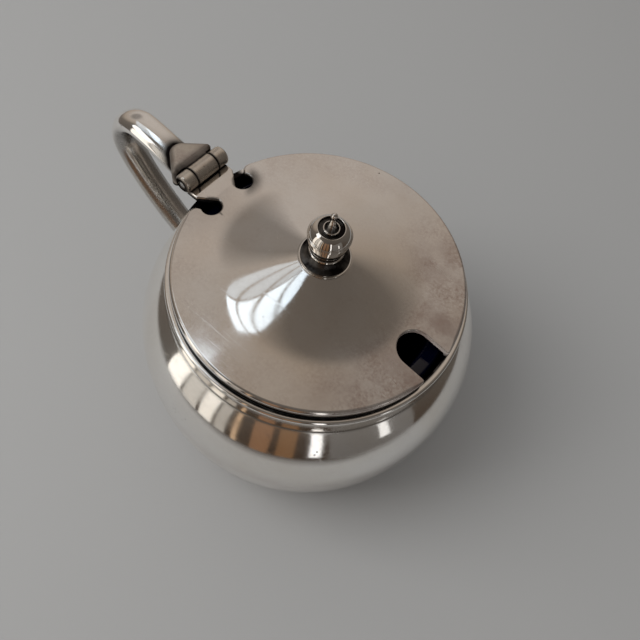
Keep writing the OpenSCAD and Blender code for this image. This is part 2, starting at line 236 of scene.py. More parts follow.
floor_run = np.linspace(0, bottom_r, 24)[:-1]
lip = softened([(band_r, neck_z, 0), (mouth_r, neck_z, 0.3), (mouth_r, neck_z - sheet, 0.3),
                (*belly_outline(-sheet)[-1], 0)], closed=False)
body_outline = np.concatenate([
    np.stack([floor_run, 0 * floor_run + foot_h], 1), belly_outline(0), lip[1:-1],
    belly_outline(-sheet)[::-1], np.stack([floor_run[::-1], 0 * floor_run + foot_h + sheet], 1)])
# Painted shade, with a little tarnish, in the crease under the band.
neck_shade_and_tarnish = dark_round_spot(body_outline, (band_r, neck_z), 0.35, 0.45)
foot_dirt = dark_round_spot(body_outline, (bottom_r, foot_h), 0.6, 0.7)
belly_wear = 0.3 * ramp(belly_z + 4, belly_z - 4, body_outline[:, 1])
pot_sides = 256
body = piece("pot_body", *turned(body_outline, pot_sides), "pot", "silver_body", ["body_shell"],
             np.repeat(np.maximum(neck_shade_and_tarnish, foot_dirt), pot_sides), np.repeat(belly_wear, pot_sides))

# %% [markdown]
# ## Mouth band and foot
# A strip of thicker metal is soldered round the mouth, with a flat top that the eye sees just outside
# the lid, and a plate is soldered under the bottom. Both are closed outlines with softened corners.

# %% Turn the mouth band and the foot
band_low = neck_z + film
band_outline = softened([(mouth_r, band_low, 0.15), (band_r, band_low, 0.3), (band_r, mouth_z, 0.55),
                         (mouth_r, mouth_z, 0.25)], step=0.5)
# Painted shade with a little tarnish in the crease at the band's foot, and a painted shadow on the band's
# top where the lid's edge overhangs it.
band_shadow_and_tarnish = 0.45 * np.exp(-((band_outline[:, 1] - band_low) / 0.25) ** 2)
band_shadow_and_tarnish = np.maximum(band_shadow_and_tarnish, ramp(lid_r + 0.1, lid_r - 0.2, band_outline[:, 0]))
band_points, band_faces = turned(band_outline, pot_sides, closed=True)
# Painted shade on the band under the hinge.
hinge_shade = ramp(-26.5, -28.5, band_points[:, 0]) * ramp(8.2, 7.0, np.abs(band_points[:, 1]))
band = piece("mouth_band_ring", band_points, band_faces, "pot", "silver_body", ["mouth_band"],
             np.maximum(np.repeat(band_shadow_and_tarnish, pot_sides), hinge_shade))
foot_round, foot_sides = foot_h / 2 - film / 2, 192
foot_outline = np.concatenate([
    [(0, 0)], oval((bottom_r - foot_h / 2 + film / 2, foot_round), foot_round, foot_round, -90, 90, 25),
    [(0, foot_h - film)]])
solder_dirt = ramp(0.6 * foot_h, foot_h, foot_outline[:, 1])
foot = piece("foot_plate", *turned(foot_outline, foot_sides), "pot", "silver_body", ["foot"],
             np.repeat(solder_dirt, foot_sides))

# %% [markdown]
# ## The handle
# The handle is an oval strap bent into a loop. Its centre line is three cubic curves in the plane of
# the hinge. Each long line of the strap is cut where it meets the pot, so both ends fit the wall, and
# its top is pressed flat under the hinge block. The inner side of the loop is painted dark: a painted
# dark reflection of the pot above it, with some tarnish.

# %% Lay out the strap's centre line
strap_w, tail_w, strap_t = 7.0, 6.4, 4.8
strap_curves = np.array([
    [[29.6, 46.5], [36.1, 48.5], [43.1, 51.5], [51.1, 51.5]],
    [[51.1, 51.5], [54.541, 51.5], [58.5, 47.804], [58.5, 42.7]],
    [[58.5, 42.7], [58.5, 37.4], [46.74, 25.104], [36.1, 21.5]]])


def strap_line(t):
    """Point and direction of the centre line at t from 0 to 3: a cubic curve for each whole step."""
    part = np.clip(np.floor(t).astype(int), 0, 2)
    s = (t - part)[..., None]
    a, b, c, d = (strap_curves[part, k] for k in range(4))
    spot = a * (1 - s) ** 3 + 3 * b * s * (1 - s) ** 2 + 3 * c * s * s * (1 - s) + d * s ** 3
    way = (b - a) * (1 - s) ** 2 + 2 * (c - b) * s * (1 - s) + (d - c) * s * s
    return spot, way / np.linalg.norm(way, axis=-1, keepdims=True)


def strap(t, a):
    """Oval section at t: centre + up (thickness / 2) sin a, and half the width times cos a across."""
    spot, way = strap_line(t)
    up = np.stack([-way[..., 1], way[..., 0]], -1)
    side = spot + up * (strap_t / 2 * np.sin(a))[..., None]
    half = (strap_w + (tail_w - strap_w) * t / 3) / 2
    return np.stack([-side[..., 0], half * np.cos(a), side[..., 1]], -1)


def wall_r(z):
    """The pot's outside radius at a height: the band above the neck, the shoulder and belly below it."""
    high = np.sqrt(np.clip(1 - ((z - belly_z) / shoulder_h) ** 2, 0, 1))
    low = np.clip(1 - np.abs((belly_z - z) / (belly_z - foot_h)) ** belly_full, 0, 1) ** (1 / belly_full)
    r = np.where(z > belly_z, belly_r - shoulder_w * (1 - high), bottom_r + (belly_r - bottom_r) * low)
    return np.where(z > neck_z, band_r, r)


strap_sides = 64
around = np.arange(strap_sides) * 2 * np.pi / strap_sides


def meets_wall(t):
    """For each long line of the strap, the t between the samples where it comes out of the wall."""
    points = strap(t[:, None] + 0 * around, around + 0 * t[:, None])
    clear = np.hypot(points[..., 0], points[..., 1]) - wall_r(points[..., 2]) - film
    last = np.array(len(t) - 1 - np.argmax(clear[::-1] < 0, axis=0))
    line = np.arange(strap_sides)
    c0, c1 = clear[last, line], clear[last + 1, line]
    return t[last] + (t[last + 1] - t[last]) * c0 / (c0 - c1)


root_t = meets_wall(np.linspace(0, 0.6, 900))
tail_t = meets_wall(np.linspace(3, 2.4, 900))
print(f"strap lines start at {root_t.min():.3f} to {root_t.max():.3f} and end at {tail_t.max():.3f}")

# %% [markdown]
# The hinge block stands on the strap's upper side, like a fishtail seen from above: round ears behind
# the barrel, and straight flanks that touch them and the round end. Its outline is needed here already,
# because the strap is pressed flat under it and shade, with some tarnish, is painted in the seam round it.

# %% Outline the hinge block
block_x, ear_u, block_mid = -33.5, 35.55, 39.35
block_half, ear_half, ear_round, block_up, block_fall = 2.5, 5.3, 0.9, 1.3, 0.5
block_far = block_mid + block_half
swing_r, middle_half = knuckle_r + 0.35, 2.925


def bed_z(u):
    """Height of the flat bed under the block: a line through the centre line at t = 0.18 and 0.6."""
    (a, b), _ = strap_line(np.array([0.18, 0.6]))
    return a[1] + (u - a[0]) * (b[1] - a[1]) / (b[0] - a[0]) + strap_t / 4


ear_back, ear_tip = ear_u + ear_round, ear_half - ear_round
fan = np.arctan2(ear_tip, block_mid - ear_back)
fan -= np.arcsin((block_half - ear_round) / np.hypot(block_mid - ear_back, ear_tip))
ear_corner = oval((ear_back, ear_tip), ear_round, ear_round, 180, 90 - np.degrees(fan), 14)
round_end = oval((block_mid, 0), block_half, block_half, 90 - np.degrees(fan), 0, 24)
flank = ear_corner[-1] + (round_end[0] - ear_corner[-1]) * np.linspace(0, 1, 14)[1:-1, None]
block_side = np.concatenate([ear_corner, flank, round_end])
block_rim = np.concatenate([block_side, block_side[-2::-1] * (1, -1)])


def block_gap(points):
    """Distance in plan from points to the block's outline behind its ears."""
    plan = points[:, :2] * (-1, 1)
    return np.sqrt(((plan[:, None] - block_rim[None]) ** 2).sum(2).min(1))


def under_block(points, margin):
    """Whether points lie inside the block's plan by a margin: half width by half width along u."""
    u, y = -points[:, 0], np.abs(points[:, 1])
    half = np.interp(u, block_side[:, 0], block_side[:, 1])
    return (u > -block_x + margin) & (u < block_far - margin) & (y < half - margin)


print(f"block rim of {len(block_rim)} points, bed at {bed_z(35.0):.2f} to {bed_z(42.0):.2f}")

# %% [markdown]
# The oval is now carried along the centre line, from where each long line of the strap leaves the wall
# to where it meets it again. Points under the block go down to its bed, and a fan of triangles closes
# each end inside the solder.

# %% Carry the oval along the strap
strap_share = np.linspace(0, 1, 281)[:, None]
strap_t_grid = root_t + (tail_t - root_t) * strap_share
strap_points = strap(strap_t_grid, around + 0 * strap_t_grid).reshape(-1, 3)
pressed = under_block(strap_points, 0.3)
bed = bed_z(-strap_points[:, 0]) - film
strap_points[:, 2] = np.where(pressed & (strap_points[:, 2] > bed), bed, strap_points[:, 2])
# Painted shade, with some tarnish, in the seam round the hinge block.
block_seam_shade = np.exp(-(block_gap(strap_points) / 1.7) ** 2) * ramp(-1.6, -0.2, strap_points[:, 2] - bed)
# A painted dark reflection, with some tarnish, on the loop's inner side.
loop_inside_shade = 0.45 * ramp(0.35, -0.45, np.sin(around)) * ramp(1.1, 1.7, strap_t_grid)
strap_long, seam_reach = 70, 0.5
root_seam = np.exp(-(strap_share * strap_long / seam_reach) ** 2)
root_seam += np.exp(-((1 - strap_share) * strap_long / seam_reach) ** 2)
strap_shade_and_dirt = np.max([block_seam_shade, np.repeat(0.8 * root_seam, strap_sides), loop_inside_shade.ravel()], axis=0)
caps = np.stack([strap_points[:strap_sides].mean(0), strap_points[-strap_sides:].mean(0)])
last_ring = len(strap_points) - strap_sides
line = np.arange(strap_sides)
after = (line + 1) % strap_sides
root_cap = 0 * line + len(strap_points)
strap_faces = grid_faces(len(strap_share), strap_sides).tolist()
strap_faces += np.stack([after, line, root_cap], 1).tolist()
strap_faces += np.stack([line + last_ring, after + last_ring, root_cap + 1], 1).tolist()
handle = piece("loop_handle", np.concatenate([strap_points, caps]), strap_faces, "pot", "silver_body",
               ["handle"], np.r_[strap_shade_and_dirt, 1, 1])

# %% [markdown]
# ## The hinge block
# Four grids make the block: the wall that follows the outline and rounds over at the top, the top and
# the bottom between mirrored points of that outline, and the front, hollowed for the barrel. They
# share their border points, so merging the doubles welds them into one closed piece. It is worn all
# over. Shade is painted dark beside the barrel and round its own edge, and the solder along its foot is
# dark.

# %% Build the hinge block


def barrel_front(y, z):
    """The block's front: its flat face, or the hollow round the barrel where that lies further back."""
    r = np.where(np.abs(y) < middle_half, knuckle_r + film, swing_r)
    hollow = pin_x - np.sqrt(np.clip(r ** 2 - (z - pin_z) ** 2, 0, None))
    return np.minimum(block_x, np.where(np.abs(z - pin_z) < r, hollow, block_x))


def block_top(u):
    """The top falls away from the barrel in a straight line behind the ears."""
    return pin_z + block_up - block_fall * np.clip((u - ear_u) / (block_mid - ear_u), 0, 2)


round_over, wall_rows, turn_rows = 1.0, 13, 9
ear_steps = np.linspace(0, 1, 6)[:-1]
turn_a = np.radians(np.linspace(0, 90, turn_rows))
wall_up = np.r_[np.linspace(0, 1, wall_rows + 1)[:-1], np.ones(turn_rows)]
inset = np.r_[np.zeros(wall_rows), round_over * (1 - np.cos(turn_a))][:, None]
tangent = np.gradient(block_side, axis=0)
normal = np.stack([-tangent[:, 1], tangent[:, 0]], 1)
normal /= np.linalg.norm(normal, axis=1, keepdims=True)
normal[0], normal[-1] = (-0.7, 0.7), (1, 0)
side_u = block_side[:, 0] - inset * normal[:, 0]
side_y = np.maximum(block_side[:, 1] - inset * normal[:, 1], 0)
side_y[:, -1] = 0
drop = np.r_[np.zeros(wall_rows), round_over * (np.sin(turn_a) - 1)][:, None]
full_top = block_top(side_u)
side_z = bed_z(side_u) + (full_top - round_over - bed_z(side_u)) * wall_up[:, None]
side_z[wall_rows:] = full_top[wall_rows:] + drop[wall_rows:]
ear_y = side_y[:, :1] + 0 * ear_steps
ear_z = side_z[:, :1] + 0 * ear_steps
ear_start = -barrel_front(ear_y, ear_z)
ear_line = ear_start + (side_u[:, :1] - ear_start) * ear_steps
wall_grid = np.stack([-np.c_[ear_line, side_u], np.c_[ear_y, side_y], np.c_[ear_z, side_z]], -1)
across = np.unique(np.r_[np.linspace(0, 1, 16), np.linspace(0.64, 0.77, 14)])
across = np.r_[-across[:0:-1], across]


def bridge(row):
    """Points between a row of the wall and its mirror image: y times a share from -1 to 1."""
    points = np.repeat(row[:, None], len(across), 1)
    points[..., 1] *= across
    return points


top_grid, low_grid = bridge(wall_grid[-1]), bridge(wall_grid[0])
front_grid = bridge(wall_grid[:, 0])
front_grid[..., 0] = barrel_front(front_grid[..., 1], front_grid[..., 2])
top_grid[0], low_grid[0] = front_grid[-1], front_grid[0]
block_grids = ((wall_grid, False), (wall_grid * (1, -1, 1), True), (top_grid, True), (low_grid, False),
               (front_grid, False))
block_points, block_faces = np.zeros((0, 3)), []
for grid, flip in block_grids:
    quads = grid_faces(*grid.shape[:2], round_columns=False) + len(block_points)
    block_faces += (quads[:, ::-1] if flip else quads).tolist()
    block_points = np.concatenate([block_points, grid.reshape(-1, 3)])
barrel_gap = np.hypot(block_points[:, 0] - pin_x, block_points[:, 2] - pin_z) - knuckle_r
rim_gap = block_gap(block_points)
bed_gap = block_points[:, 2] - bed_z(-block_points[:, 0])
# Painted shade beside the barrel and round the block's edge, and a dark solder line at its foot.
block_shade_and_dirt = np.max([ramp(1.0, 0.3, barrel_gap), 0.75 * ramp(2.9, 0.5, barrel_gap),
                     0.4 * ramp(1.3, 0.4, rim_gap), ramp(1.1, 0.0, bed_gap)], axis=0)
block = piece("hinge_block_fishtail", block_points, block_faces, "pot", "silver_hinge", ["hinge_block"],
              block_shade_and_dirt, 0.8, crease=40)

# %% [markdown]
# ## Knuckles
# The barrel of the hinge is three tubes on one pin. The middle one belongs to the pot, the outer two
# to the lid. Each is a closed outline turned round the pin's axis. Their outer ends are well rounded, and
# their inner ends leave a narrow gap between neighbours; shade is painted dark at the ends of each tube.
# The pin's ends are peened into low domes.

# %% Turn the three knuckles and the pin
knuckle_sides = 96


def on_pin(points):
    """A form turned round the upright axis, laid along the pin's axis."""
    return np.stack([pin_x + points[:, 0], points[:, 2], pin_z + points[:, 1]], 1)


def knuckle(name, node, bore, body, low_round, high_round):
    """A tube: a closed outline of (radius, distance along the pin) carried round the pin's axis."""
    low, high = span(node)[0][1], span(node)[1][1]
    outline = softened([(bore, low, 0.08), (knuckle_r, low, low_round), (knuckle_r, high, high_round),
                        (bore, high, 0.08)], step=0.5)
    points, faces = turned(outline, knuckle_sides, closed=True)
    ends = np.minimum(outline[:, 1] - low, high - outline[:, 1])
    # Painted shade at both ends of the tube, in the gaps between knuckles.
    end_shade = np.repeat(ramp(0.4, 0.0, ends), knuckle_sides)
    return piece(name, on_pin(points), faces, body, "silver_hinge", [node], end_shade, 0.4)


pin_r, pin_half, peen = 0.9, span("hinge_pin")[1][1], 0.35
crisp, well_rounded = 0.2, 0.8
middle_tube = knuckle("middle_knuckle", "fixed_knuckle", pin_r + film, "pot", crisp, crisp)
left_tube = knuckle("left_knuckle", "lid_knuckle_left", pin_r + 2 * film, "lid", well_rounded, crisp)
right_tube = knuckle("right_knuckle", "lid_knuckle_right", pin_r + 2 * film, "lid", crisp, well_rounded)
pin_end = oval((0, pin_half - peen), pin_r, peen, 0, 90, 10)
pin_points, pin_faces = turned(np.concatenate([pin_end[::-1] * (1, -1), pin_end]), 48)
pin = piece("peened_pin", on_pin(pin_points), pin_faces, "pot", "steel", ["hinge_pin"])

# %% [markdown]
# ## The lid's plan
# The lid is one sheet, sawn out after it was spun: a spoon notch in front, and behind it a tongue for
# the hinge between two keyhole cuts. One closed line in plan describes all of this: corners with a
# radius, and stretches of circles that stop a few degrees short of a corner. It is walked with even
# steps, so that the edges can be rounded by moving the line inwards.

# %% Walk round the lid's edge
dome_r, dome_hollow, edge_z, lid_sheet = 20.5, 0.3, lid_z + 1.6, 1.0
flange_rise = 0.7
flange_z = edge_z + flange_rise
tongue_z, tongue_t, tongue_half, tongue_end = edge_z + flange_rise / 3, 1.2, 5.3, -32.64
tongue_x, tongue_side, tongue_flare = -26, 5.8, -29.65
keyhole, keyhole_r, slot_w, lean = np.array([-26.0, 4.6]), 2.1, 1.5, np.radians(162)
notch_r, notch_x, notch_y = 3.75, 24.35, -0.6
slot_corner, notch_corner_r, edge_step = 2.0, 0.5, 0.22
slot_clear, notch_clear = 4.2, 2.2
slot_way = np.array([np.cos(lean), np.sin(lean)])


def to_rim(start, way):
    """The point where a straight line from inside the rim's circle reaches it."""
    b = start @ way
    return start + way * (np.sqrt(b * b - start @ start + lid_r ** 2) - b)


def angle(point):
    """A point's direction from the lid's centre, in degrees from 0 to 360."""
    return np.degrees(np.arctan2(point[1], point[0])) % 360


def soft_rows(points, radius=0.0):
    """Corner rows for the outline: points with one radius."""
    points = np.atleast_2d(points)
    return np.c_[points, np.full(len(points), radius)]


def flank_rows():
    """Corners from the rim along one keyhole cut to the tongue's end, on the side of positive y."""
    slot_side = keyhole + (0, slot_w)
    reach = slot_w * slot_way[1]
    enter = slot_side + slot_way * (np.sqrt(reach ** 2 + keyhole_r ** 2 - slot_w ** 2) - reach)
    begin = np.degrees(np.arctan2(*(enter - keyhole)[::-1]))
    hole = oval(keyhole, keyhole_r, keyhole_r, begin, -90, 44)
    return np.concatenate([
        soft_rows(to_rim(slot_side, slot_way), slot_corner), soft_rows(hole[:1], 0.35), soft_rows(hole[1:]),
        soft_rows((tongue_flare, tongue_half), 0.5), soft_rows((tongue_end, tongue_half), 0.4)])


notch_left = np.array([np.sqrt(lid_r ** 2 - (notch_y + notch_r) ** 2), notch_y + notch_r])
notch_right = np.array([np.sqrt(lid_r ** 2 - (notch_y - notch_r) ** 2), notch_y - notch_r])
flank_plus = flank_rows()
flank_minus = flank_plus[::-1] * (1, -1, 1)
rim_plus = oval((0, 0), lid_r, lid_r, angle(notch_left) + notch_clear,
                angle(flank_plus[0]) - slot_clear, 300)
rim_minus = oval((0, 0), lid_r, lid_r, angle(flank_minus[-1]) + slot_clear,
                 angle(notch_right) - notch_clear, 300)
notch_end = oval((notch_x, notch_y), notch_r, notch_r, 270, 90, 50)
lid_line = softened(np.concatenate([
    soft_rows(notch_left, notch_corner_r), soft_rows(rim_plus), flank_plus, flank_minus,
    soft_rows(rim_minus), soft_rows(notch_right, notch_corner_r), soft_rows(notch_end)]), step=0.3)
leap = np.linalg.norm(np.roll(lid_line, -1, 0) - lid_line, axis=1)
walked = np.r_[0, np.cumsum(leap)]
even = np.linspace(0, walked[-1], int(walked[-1] / edge_step), endpoint=False)
lid_loop = np.stack([np.interp(even, walked, np.r_[lid_line[:, k], lid_line[0, k]]) for k in (0, 1)], 1)
print(f"lid's edge is {walked[-1]:.1f} mm long, in {len(lid_loop)} steps")

# %% [markdown]
# ## The lid's heights
# From above the lid is a height at each place: a flange that rises a little, a shallow, slightly hollow
# cone up to the finial's seat, and a flat tongue with a trough under the barrel. From below it is the same
# sheet, with an edge turned down all round. The slope of that height gives exact shading normals.

# %% Heights above and below
bend_soft, tongue_root = 0.06, 2.5


def sheet_top(x, y):
    """Turned form: the flange rises evenly, and the dome is a slightly hollow cone. The higher of the two
    counts, with a soft bend where they meet: half their sum plus half the root of their difference
    squared and a little softness."""
    r = np.hypot(x, y)
    s = np.minimum((dome_r - r) / (dome_r - seat_r), 1)
    flange = edge_z + (flange_z - edge_z) * (lid_r - r) / (lid_r - dome_r)
    dome = flange_z + (finial_z - flange_z) * (s - dome_hollow * s * (1 - s))
    soft = np.sqrt((dome - flange) ** 2 + bend_soft * np.clip(r - seat_r, 0, 1)) / 2
    return np.where(r > seat_r, (dome + flange) / 2 + soft, finial_z)


def lid_top(x, y):
    """The turned form, the tongue's flat where that is higher, and the trough round the barrel."""
    tongue = (x < tongue_x) & (np.abs(y) < tongue_side)
    top = np.where(tongue, np.maximum(sheet_top(x, y), tongue_z), sheet_top(x, y))
    r = np.where(np.abs(y) < middle_half, swing_r, knuckle_r + film)
    trough = pin_z - np.sqrt(np.clip(r ** 2 - (x - pin_x) ** 2, 0, None))
    return np.where(np.abs(x - pin_x) < r, np.minimum(top, trough), top)


def lid_low_side(x, y):
    """One sheet below the turned form, down to the lower edge at the rim, and the tongue's underside."""
    r = np.hypot(x, y)
    tongue = (x < tongue_x) & (np.abs(y) < tongue_side)
    low = sheet_top(x, y) - lid_sheet
    low = np.where(tongue, np.minimum(low, tongue_z - tongue_t), low)
    beside = (x < 0) & (np.abs(y) > tongue_root) & (np.abs(y) < tongue_side)
    low = np.where((r > lid_r - lid_sheet) & ~beside, lid_z, low)
    return np.where(r > lid_r + 0.06, tongue_z - tongue_t, low)


def slopes(height, x, y, step=0.02):
    """Upward unit normals of a height: its slope by differences along x and y."""
    dx = (height(x + step, y) - height(x - step, y)) / (2 * step)
    dy = (height(x, y + step) - height(x, y - step)) / (2 * step)
    n = np.stack([-dx, -dy, np.ones_like(x)], 1)
    return n / np.linalg.norm(n, axis=1, keepdims=True)


print(f"lid from {lid_z:.2f} to {lid_top(np.array([0.0]), np.array([0.0]))[0]:.2f}")

# %% [markdown]
# ## The lid
# The edge line, moved inwards along a quarter circle, gives the rounded upper edge. Its radius is
# largest at the rim and shrinks towards the cuts, evened out over a short run so that the line never
# crosses itself.

# %% Round the lid's edge
rim_round, slot_round, notch_round, smooth_run, corner_gap = 0.8, 0.4, 0.3, 15, 2.2
step_out = np.roll(lid_loop, -1, 0) - np.roll(lid_loop, 1, 0)
edge_out = np.stack([step_out[:, 1], -step_out[:, 0]], 1)
edge_out /= np.linalg.norm(edge_out, axis=1, keepdims=True)
at_rim = (np.abs(np.hypot(*lid_loop.T) - lid_r) < 0.02) & (np.abs(lid_loop[:, 1]) > 3.0)
at_rim &= (lid_loop[:, 0] > 0) | (np.abs(lid_loop[:, 1]) > 7)
for notch_corner in (notch_left, notch_right):
    at_rim &= np.hypot(*(lid_loop - notch_corner).T) > corner_gap
edge_r = np.where(at_rim, rim_round, np.where(lid_loop[:, 0] < 0, slot_round, notch_round))
half_run = smooth_run // 2
edge_r = np.convolve(np.r_[edge_r[-half_run:], edge_r, edge_r[:half_run]],
                     np.ones(smooth_run) / smooth_run, "valid")
lid_turn = np.radians(np.linspace(0, 90, 8))
upper_loop = lid_loop - edge_out * edge_r[:, None]
print(f"edge rounded by {edge_r.min():.2f} to {edge_r.max():.2f} mm")

# %% [markdown]
# The inside is filled with points on circles and a finer patch round the tongue, joined by a
# triangulation that keeps the edge line and the screw's hole. The underside is filled in the same way,
# with two circles close together where its edge turns down.

# %% Fill the lid between its edges
hole_r = 1.27


def inside(points, loop):
    """Even-odd test: how many edges of the loop a ray from each point towards +x crosses."""
    a, b = loop, np.roll(loop, -1, 0)
    py, px = points[:, 1:2], points[:, :1]
    straddles = (a[:, 1] > py) != (b[:, 1] > py)
    run = np.where(b[:, 1] == a[:, 1], 1e-12, b[:, 1] - a[:, 1])
    cross = a[:, 0] + (py - a[:, 1]) * (b[:, 0] - a[:, 0]) / run
    return (straddles & (px < cross)).sum(1) % 2 == 1


def circles(radii, spacing):
    """Points on circles about the middle, about as far apart as spacing."""
    return np.concatenate([oval((0, 0), r, r, 0, 360, int(2 * np.pi * round(r, 1) / spacing) + 8)[:-1]
                           for r in radii])


def patch(x0, x1, y0, y1, spacing):
    """Points on a square grid over a rectangle."""
    x, y = np.meshgrid(np.arange(x0, x1, spacing), np.arange(y0, y1, spacing))
    return np.stack([x.ravel(), y.ravel()], 1)


def filled(loop, inner, margin):
    """Triangles inside a loop, less the screw's hole: the loop and the hole are kept as edges."""
    hole = oval((0, 0), hole_r, hole_r, 0, 360, 49)[:-1]
    gap = np.concatenate([np.sqrt(((some[:, None] - loop[None]) ** 2).sum(2).min(1))
                          for some in np.array_split(inner, 20)])
    inner = inner[inside(inner, loop) & (gap > margin) & (np.hypot(*inner.T) > hole_r + 0.3)]
    points = np.concatenate([loop, hole, inner])
    n, m = len(loop), len(hole)
    along, round_hole = np.arange(n), np.arange(m)
    edges = np.concatenate([np.stack([along, (along + 1) % n], 1),
                            n + np.stack([round_hole, (round_hole + 1) % m], 1)]).tolist()
    out = delaunay_2d_cdt([Vector(p) for p in points], edges, [], 1, 1e-6)
    spots, triangles = np.array(out[0]), np.array(out[2])
    middle = spots[triangles].mean(1)
    keep = inside(middle, loop) & ~inside(middle, hole)
    order = [source[0] for source in out[3]]
    assert len(spots) == len(points) and order == list(range(len(points)))
    return points, triangles[keep], n, m


fine = [patch(-32.7, -22, -8, 8, 0.3)]
top_plan, top_tris, edge_n, hole_n = filled(
    upper_loop, np.concatenate([circles(np.arange(2, 30, 0.7), 0.75)] + fine), 0.2)
low_plan, low_tris, _, _ = filled(
    lid_loop, np.concatenate([circles(np.r_[np.arange(2.5, 28.6, 1.1), 28.96, 29.04], 0.8)] + fine), 0.15)
print(f"lid filled with {len(top_tris)} triangles above and {len(low_tris)} below")

# %% [markdown]
# Each face group now gets its own normals: the height's slope above and below, and the edge line's
# outward direction on the wall, turning upwards over the rounded edge. That keeps mirror reflections
# free of ripples from the uneven triangles.

# %% Assemble the lid
top_height = lid_top(*top_plan.T)
upper_z = top_height[:edge_n]
rings = [np.c_[lid_loop - edge_out * (edge_r * (1 - np.cos(a)))[:, None],
               upper_z - edge_r * (1 - np.sin(a))] for a in lid_turn[:-1]]
ring_normals = [np.c_[edge_out * np.cos(a), np.full(edge_n, np.sin(a))] for a in lid_turn[:-1]]
top_points = np.c_[top_plan, top_height]
low_points = np.c_[low_plan, lid_low_side(*low_plan.T)]
top_normals, low_normals = slopes(lid_top, *top_plan.T), -slopes(lid_low_side, *low_plan.T)
edge_normals = np.c_[edge_out, np.zeros(edge_n)]
lid_points = np.concatenate([low_points[:edge_n]] + rings + [top_points, low_points[edge_n:]])
ring_count = len(rings) + 1
top_at = ring_count * edge_n
low_at = top_at + len(top_points) - edge_n
wall_quads = grid_faces(ring_count + 1, edge_n)
top_faces = top_tris + top_at
low_faces = np.where(low_tris < edge_n, low_tris, low_tris + low_at)[:, ::-1]
h = np.arange(hole_n)
hole_top, hole_low = top_at + edge_n + h, low_at + edge_n + h
hole_quads = np.stack([hole_top, hole_low, np.roll(hole_low, -1), np.roll(hole_top, -1)], 1)
wall_normals = np.concatenate([edge_normals] + ring_normals + [top_normals[:edge_n]])
hole_out = -top_plan[edge_n:edge_n + hole_n] / hole_r
hole_n4 = np.stack([hole_out, hole_out, np.roll(hole_out, -1, 0), np.roll(hole_out, -1, 0)], 1)
corner_normals = np.concatenate([
    wall_normals[wall_quads].reshape(-1, 3), top_normals[top_tris].reshape(-1, 3),
    low_normals[low_tris[:, ::-1]].reshape(-1, 3), np.c_[hole_n4.reshape(-1, 2), np.zeros(4 * hole_n)]])
lid_faces = wall_quads.tolist() + top_faces.tolist() + low_faces.tolist() + hole_quads.tolist()
print(f"lid of {len(lid_points)} points and {len(lid_faces)} faces")

# %% [markdown]
# Tarnish, painted shade and wear are functions of a point's place on the lid. Shade is painted in the
# cuts, in the trough round the barrel and under the turned-down edge, tarnish stays in the small cracks
# that run on from the keyholes, and the finial's seat is darker. Polish goes where fingers hold the lid
# to lift it.

# %% Weather the lid and paint its shade


def lid_tarnish_and_shade(points):
    """The darkest of these marks: a darker ring at the finial's seat; painted shade in the barrel's trough,
    at the edge of the keyholes, on the sawn walls round the tongue and on the low side of the turned-down
    edge; a smear beside one keyhole, painted shade of a dent with some tarnish; and tarnish in the
    tapering cracks that lead on from both keyholes."""
    x, y, z = points.T
    r = np.hypot(x, y)
    up = ramp(-0.5, -0.1, z - lid_top(x, y))
    seat = ramp(seat_r + 0.3, seat_r + 0.02, r)
    # Painted shade in the trough round the barrel.
    trough = ramp(0.9, 0.1, np.hypot(x - pin_x, z - pin_z) - knuckle_r)
    hole = np.hypot(x - keyhole[0], np.abs(y) - keyhole[1]) - keyhole_r
    # Painted shade at the keyholes' edges; beside one, painted shade of a dent with some tarnish.
    cut = ramp(0.45, 0.0, hole) * 0.7
    aslant = 0.8 * (x - keyhole[0]) + 0.6 * (y - keyhole[1])
    smear = 0.7 * ramp(3.0, 0.0, hole) * ramp(0.2, 2.0, aslant) * (y > 0)
    along = x - (keyhole[0] + keyhole_r - 0.3)
    aside = np.abs(np.abs(y) - keyhole[1] - 0.12 * along)
    crack = ramp(0.34, 0.08, aside + 0.11 * along) * (along > 0) * (along < 2.8)
    # Painted shade on the sawn walls round the tongue and under the lid's turned-down edge.
    keyhole_wall_shade = (1 - up) * ramp(-22.0, -23.5, x) * (np.abs(y) < 8)
    under_rim_shade = ramp(lid_z + 0.8, lid_z + 0.45, z) * ramp(28.5, 29.0, r)
    marks = [seat, trough, cut, smear, 0.9 * crack, 0.9 * keyhole_wall_shade, under_rim_shade]
    return np.clip(np.max(marks, axis=0), 0, 1)


def lid_wear(points):
    """Polish is worn most on the flange beside the notch, where fingers hold the lid, less on the dome. The
    sawn walls of the notch were never polished, so they get the value 2."""
    x, y, z = points.T
    r = np.maximum(np.hypot(x, y), 0.1)
    held = ramp(0.35, 0.85, (0.99 * x + 0.14 * y) / r) * ramp(15, 23, r) * 0.85 + 0.15 * ramp(20, 26, r)
    sawn = ramp(-0.1, -0.3, z - lid_top(x, y)) * (x > 20) * (np.abs(y - notch_y) < notch_r + 0.3)
    return np.maximum(held, 2 * sawn)


lid = piece("hinged_lid", lid_points, lid_faces, "lid", "silver_lid", ["lid"], lid_tarnish_and_shade(lid_points),
            lid_wear(lid_points))
if len(lid.data.loops) == len(corner_normals):
    lid.data.normals_split_custom_set(corner_normals.tolist())
print("lid corners with own normals:", len(lid.data.loops), len(corner_normals))

# %% [markdown]
# ## The finial
# The knob stands on a flared collar. Both were turned on a lathe, and the collar is the simpler one: a
# thin foot, a deep cove and a bead under the knob. Polish never reaches the cove, so it stays black.

